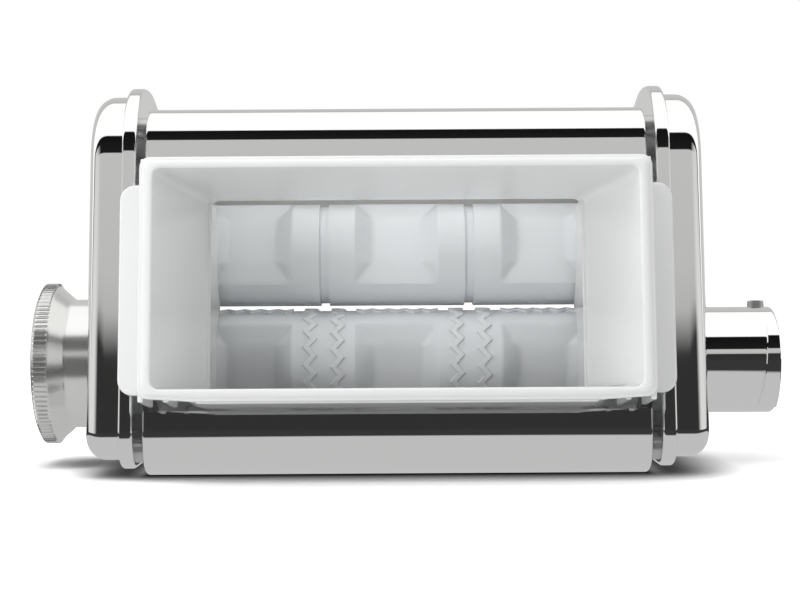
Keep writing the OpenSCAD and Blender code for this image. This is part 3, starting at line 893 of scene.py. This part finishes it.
@dataclass
class Coupling:
    """Polished sleeve with its locating pin and slanted bayonet ramp."""

    radius: float = 16.5
    length: float = 26.0
    wall: float = 4.5
    chamfer: float = 1.2
    flange_r: float = 22.3
    flange_t: float = 4.0
    pin_r: float = 2.55
    pin_h: float = 2.0
    ramp_h: float = 1.0
    ramp_w: float = 6.0
    ramp_slant: float = 2.0
    ramp_top: float = math.radians(31)
    ramp_bottom: float = math.radians(-63)

    def build(self) -> None:
        """Builds and dresses the sleeve, ramp and pin."""
        axis = (LAYOUT.axis_y, -LAYOUT.axis_z)
        start, end = LAYOUT.plate_out, LAYOUT.cap_out + self.length
        bore = self.radius - self.wall
        shape = Shape("hub_sleeve_dressed")
        profile = [(start, bore), (start, self.flange_r), (start + self.flange_t, self.flange_r),
                   (start + self.flange_t, self.radius)]
        profile += [(end - self.chamfer + a, self.radius - i) for a, i in quarter(self.chamfer, 6)]
        profile += [(end, bore + 0.4), (end - 0.4, bore)]
        shape.lathe_x(profile, axis, 144, closed=True)
        steps, rings = 40, []
        for k in range(steps + 1):
            a = self.ramp_bottom + (self.ramp_top - self.ramp_bottom) * k / steps
            left = end - self.ramp_w + self.ramp_slant * k / steps
            low, high, c = self.radius - 0.8, self.radius + self.ramp_h, 0.25
            section = [(left, low), (end - 0.3, low), (end - 0.3, high - c), (end - 0.3 - c, high),
                       (left + c, high), (left, high - c)]
            rings.append([(x, axis[0] - r * math.cos(a), axis[1] + r * math.sin(a)) for x, r in section])
        shape.loft(rings)
        sleeve = shape.build(38)
        POLISHED.dress(sleeve)
        weight_normals(sleeve)
        settle(sleeve, Body.FRAME, Slot.POLISHED, "hub_sleeve")
        pin = Shape("hub_pin_dressed")
        pin_x, top = end - 4.2, self.radius + self.pin_h
        turns = [2 * math.pi * k / 48 for k in range(48)]
        heights = [(bore + 0.5, self.pin_r)] + [(top - 0.5 + a, self.pin_r - i) for a, i in quarter(0.5, 4)]
        pin.loft([[(pin_x + r * math.cos(a), axis[0] + r * math.sin(a), axis[1] + h) for a in turns]
                  for h, r in heights])
        stud = pin.build()
        MACHINED.dress(stud)
        weight_normals(stud)
        settle(stud, Body.FRAME, Slot.MACHINED, "hub_pin")


@dataclass
class Screws:
    """Slotted pan heads on the caps and on the covers' backs."""

    head_r: float = 2.6
    head_h: float = 1.2
    shank_r: float = 1.5
    shank: float = 6.0
    slot_w: float = 0.7

    def unit(self) -> Shape:
        """Screw along x with the underside of its head at the origin."""
        shape = Shape("screw")
        half = self.slot_w / 2
        crown = [(0.0, self.head_r - 0.1), (0.15, self.head_r), (0.75, self.head_r),
                 (1.0, self.head_r - 0.45), (self.head_h, self.head_r - 1.1)]
        shank = [(-self.shank, self.shank_r), (0.0, self.shank_r)]
        shape.lathe_x(shank + crown[:-1] + [(1.0, 0.9)], (0, 0), 32)
        for side in (-1, 1):
            arc = [math.asin(half / 2.0) + (math.pi - 2 * math.asin(half / 2.0)) * k / 16 for k in range(17)]
            low = [(2.0 * math.cos(a), side * 2.0 * math.sin(a)) for a in arc]
            shape.loft([[(x, y * s, z * s if abs(z) * s > half else side * half) for y, z in low]
                        for x, s in ((0.9, 1.0), (1.05, 0.98), (self.head_h, 0.85))])
        return shape

    def build(self) -> None:
        """Sets a screw at every place where the CAD has one."""
        posts = ((20, 34), (20, -33), (45, LAYOUT.cover_top - 9.5))
        caps = [(Vector((s * LAYOUT.cap_out, *p)), Vector((0.5 * i, 0, 0 if s > 0 else math.pi)))
                for s in (-1, 1) for i, p in enumerate(posts)]
        rear, height = LAYOUT.body_d - 2, 24.5
        covers = [(Vector((x, rear, m * height)), Vector((0, 0, math.pi / 2)))
                  for m in (-1, 1) for x in (-60, 0, 60)]
        for stem, places in (("cap_screw", caps), ("cover_screw", covers)):
            thing = Repeater(stem + "_set", self.unit(), MACHINED).build(places)
            settle(thing, Body.FRAME, Slot.MACHINED, stem + "s")


# ---------------------------------------------------------------- studio


@dataclass
class Studio:
    """Camera, white table, soft light and the bands that polished metal mirrors."""

    focal_px: float = 1750.0
    width_px: float = 800.0
    distance: float = 0.551
    tilt: float = math.radians(1.0)
    roll: float = math.radians(-0.35)
    shift_x: float = 0.00094
    shift_up: float = 0.0025
    daylight: float = 0.62
    side_reach: float = 0.33
    flank_from: float = 0.6
    flank_to: float = 0.9
    table_white: float = 0.82
    table_lift: float = 0.08
    table_reach: float = 6.0
    # Reach and strength of the occlusion that paints contact shade on the table near the case
    painted_shade_reach: float = 0.015
    painted_shade_power: float = 1.6
    # Stretch, edges and glow of the pale pool of light painted on the table for glossy rays
    pool_stretch: float = 0.45
    pool_edge: Point = (0.085, 0.10)
    painted_pool_glow: Point = (0.56, 0.04)

    def camera(self) -> None:
        """Sets the camera in front of the nip."""
        nip = MACHINE.matrix() @ Vector((0, LAYOUT.axis_y, 0))
        ahead = Vector((0, math.cos(self.tilt), -math.sin(self.tilt)))
        up = Vector((0, math.sin(self.tilt), math.cos(self.tilt)))
        side = ahead.cross(up)
        place = nip - ahead * self.distance + side * self.shift_x + up * self.shift_up
        turn = Matrix((side, up, -ahead)).transposed().to_4x4() @ Matrix.Rotation(self.roll, 4, "Z")
        data = bpy.data.cameras.new("studio_camera")
        data.sensor_width = 36.0
        data.lens = data.sensor_width * self.focal_px / self.width_px
        data.clip_start = 0.01
        camera = bpy.data.objects.new("studio_camera", data)
        camera.matrix_world = Matrix.Translation(place) @ turn
        bpy.context.scene.collection.objects.link(camera)
        bpy.context.scene.camera = camera

    def fill_bands(self, node: bpy.types.Node, stops: list[tuple[float, float]]) -> None:
        """Sets a colour ramp's stops, each an elevation in degrees and its brightness."""
        ramp = node.color_ramp
        while len(ramp.elements) < len(stops):
            ramp.elements.new(0.5)
        for element, (degrees, value) in zip(ramp.elements, stops):
            element.position = (degrees + 180) / 360
            element.color = (value, value, value * 0.99, 1)

    def world(self) -> None:
        """White to the camera, even to matt surfaces, banded to glossy ones."""
        world = bpy.data.worlds.new("studio")
        bpy.context.scene.world = world
        tree = empty_tree(world)
        add = tree.nodes.new
        way, split = add("ShaderNodeTexCoord"), add("ShaderNodeSeparateXYZ")
        square, widen, forward = (add("ShaderNodeMath") for _ in range(3))
        square.operation, forward.operation = "MULTIPLY", "SUBTRACT"
        widen.operation, widen.inputs[1].default_value = "MULTIPLY", self.side_reach
        angle = add("ShaderNodeMath")
        angle.operation = "ARCTAN2"
        spread = add("ShaderNodeMapRange")
        spread.inputs["From Min"].default_value = -math.pi
        spread.inputs["From Max"].default_value = math.pi
        bands, flank_bands = add("ShaderNodeValToRGB"), add("ShaderNodeValToRGB")
        flank = add("ShaderNodeMapRange")
        flank.inputs["From Min"].default_value = self.flank_from
        flank.inputs["From Max"].default_value = self.flank_to
        blend = add("ShaderNodeMix")
        blend.data_type = "RGBA"
        wire(tree, (way, "Generated", split, 0), (split, "X", square, 0), (split, "X", square, 1),
                   (square, 0, widen, 0), (widen, 0, forward, 0), (split, "Y", forward, 1),
                   (split, "Z", angle, 0), (forward, 0, angle, 1), (angle, 0, spread, "Value"),
                   (spread, "Result", bands, "Fac"), (spread, "Result", flank_bands, "Fac"),
                   (square, 0, flank, "Value"), (flank, "Result", blend, "Factor"),
                   (bands, "Color", blend, "A"), (flank_bands, "Color", blend, "B"))
        low = [(-180, 0.62), (-150, 0.6), (-27, 0.6), (-24, 0.05), (14.3, 0.03), (15.5, 0.5), (16.8, 0.54)]
        high = [(53.5, 1.15), (128, 1.1), (129, 0.12), (131, 0.55), (180, 0.62)]
        self.fill_bands(bands, low + [(24, 0.58), (25, 0.012), (52, 0.006)] + high)
        side = [(-180, 0.62), (-150, 0.6), (10, 0.75), (20, 0.75), (39, 0.6), (40, 0.012), (52, 0.006)]
        self.fill_bands(flank_bands, side + high)
        path = add("ShaderNodeLightPath")
        glossy, plain = add("ShaderNodeBackground"), add("ShaderNodeBackground")
        seen = add("ShaderNodeBackground")
        mixed, final = add("ShaderNodeMixShader"), add("ShaderNodeMixShader")
        plain.inputs["Color"].default_value = (1, 1, 1, 1)
        plain.inputs["Strength"].default_value = self.daylight
        seen.inputs["Color"].default_value = (1, 1, 1, 1)
        out = add("ShaderNodeOutputWorld")
        wire(tree, (blend, "Result", glossy, "Color"), (path, "Is Glossy Ray", mixed, 0),
                   (plain, 0, mixed, 1), (glossy, 0, mixed, 2), (path, "Is Camera Ray", final, 0),
                   (mixed, 0, final, 1), (seen, 0, final, 2), (final, 0, out, "Surface"))

    def table(self) -> None:
        """White table that keeps the shadow, with painted shade where it meets the case, and a painted pale
        pool close to the case that only reflections show.
        """
        mesh, reach = bpy.data.meshes.new("table"), self.table_reach
        mesh.from_pydata([(-reach, -reach, 0), (reach, -reach, 0), (reach, reach, 0), (-reach, reach, 0)], [],
                         [[0, 1, 2, 3]])
        table = bpy.data.objects.new("table", mesh)
        bpy.context.scene.collection.objects.link(table)
        mesh.materials.append(self.table_material())

    def table_material(self) -> bpy.types.Material:
        """Matt white with painted shade where it meets the case; glossy rays see a painted pale pool of light
        on a dark table.
        """
        material = bpy.data.materials.new("white_table")
        tree = empty_tree(material)
        add = tree.nodes.new
        matt, lift = add("ShaderNodeBsdfDiffuse"), add("ShaderNodeEmission")
        twice, total = add("ShaderNodeAddShader"), add("ShaderNodeAddShader")
        # Painted contact shade: an occlusion node darkens the table's matt colour and its lift close to the
        # case
        near, painted_contact_shade = add("ShaderNodeAmbientOcclusion"), add("ShaderNodeMath")
        near.inputs["Distance"].default_value = self.painted_shade_reach
        painted_contact_shade.operation = "POWER"
        painted_contact_shade.inputs[1].default_value = self.painted_shade_power
        wire(tree, (near, "AO", painted_contact_shade, 0))
        dim, pale = add("ShaderNodeMath"), add("ShaderNodeMath")
        for scaled, most in ((dim, self.table_white), (pale, self.table_lift)):
            scaled.operation = "MULTIPLY"
            scaled.inputs[1].default_value = most
            wire(tree, (painted_contact_shade, 0, scaled, 0))
        wire(tree, (dim, 0, matt, "Color"), (pale, 0, lift, "Strength"))
        # Painted reflection: for glossy rays the table glows pale near the case and fades to dark further
        # out, though no lamp is there
        path, place, away = add("ShaderNodeLightPath"), add("ShaderNodeTexCoord"), add("ShaderNodeVectorMath")
        away.operation = "LENGTH"
        stretch = add("ShaderNodeMapping")
        stretch.inputs["Scale"].default_value = (self.pool_stretch, 1.0, 1.0)
        fade, mirrored = add("ShaderNodeMapRange"), add("ShaderNodeEmission")
        for end, edge, glow in zip(("Min", "Max"), self.pool_edge, self.painted_pool_glow):
            fade.inputs["From " + end].default_value = edge
            fade.inputs["To " + end].default_value = glow
        wire(tree, (place, "Object", stretch, "Vector"), (stretch, "Vector", away, 0),
                   (away, "Value", fade, "Value"), (fade, "Result", mirrored, "Strength"))
        shown, out = add("ShaderNodeMixShader"), add("ShaderNodeOutputMaterial")
        camera_only = add("ShaderNodeMixShader")
        wire(tree, (matt, 0, twice, 0), (matt, 0, twice, 1), (twice, 0, total, 0), (lift, 0, total, 1),
                   (path, "Is Camera Ray", camera_only, 0), (matt, 0, camera_only, 1),
                   (total, 0, camera_only, 2), (path, "Is Glossy Ray", shown, 0),
                   (camera_only, 0, shown, 1), (mirrored, 0, shown, 2), (shown, 0, out, "Surface"))
        return material

    def lamp(self, name: str, place: Vector, size: tuple[float, float], watts: float,
             target: Vector = Vector((0, 0, 0.05))) -> None:
        """Soft lamp of the given width and height aimed at target, not mirrored in the metal."""
        data = bpy.data.lights.new(name, "AREA")
        data.shape = "RECTANGLE"
        (data.size, data.size_y), data.energy = size, watts
        lamp = bpy.data.objects.new(name, data)
        aim = target - place
        lamp.matrix_world = Matrix.Translation(place) @ aim.to_track_quat("-Z", "Y").to_matrix().to_4x4()
        lamp.visible_glossy = False
        bpy.context.scene.collection.objects.link(lamp)

    def build(self) -> None:
        """Builds the whole studio."""
        self.camera()
        self.world()
        self.table()
        self.lamp("overhead", Vector((-0.25, -0.15, 0.85)), (0.6, 0.6), 2.8)
        self.lamp("left_front", Vector((-0.62, -0.74, 0.08)), (0.35, 0.35), 2.8)
        # Light that the bent sheet gathers and throws down on the upper roller
        case = MACHINE.matrix()
        self.lamp("inside_upper_cover", case @ Vector((0, 16, 48)), (0.14, 0.012), 0.014,
                  case @ Vector((0, 38, 22)))
        bpy.context.scene.view_settings.view_transform = "Standard"


def main() -> None:
    """Builds the dressed head in order."""
    logging.basicConfig(level=logging.INFO)
    Studio().build()
    dress_cad_nodes()
    Case().build()
    Hopper().build()
    Rollers().build()
    Knob().build()
    Coupling().build()
    Screws().build()


if __name__ == "__main__":
    main()
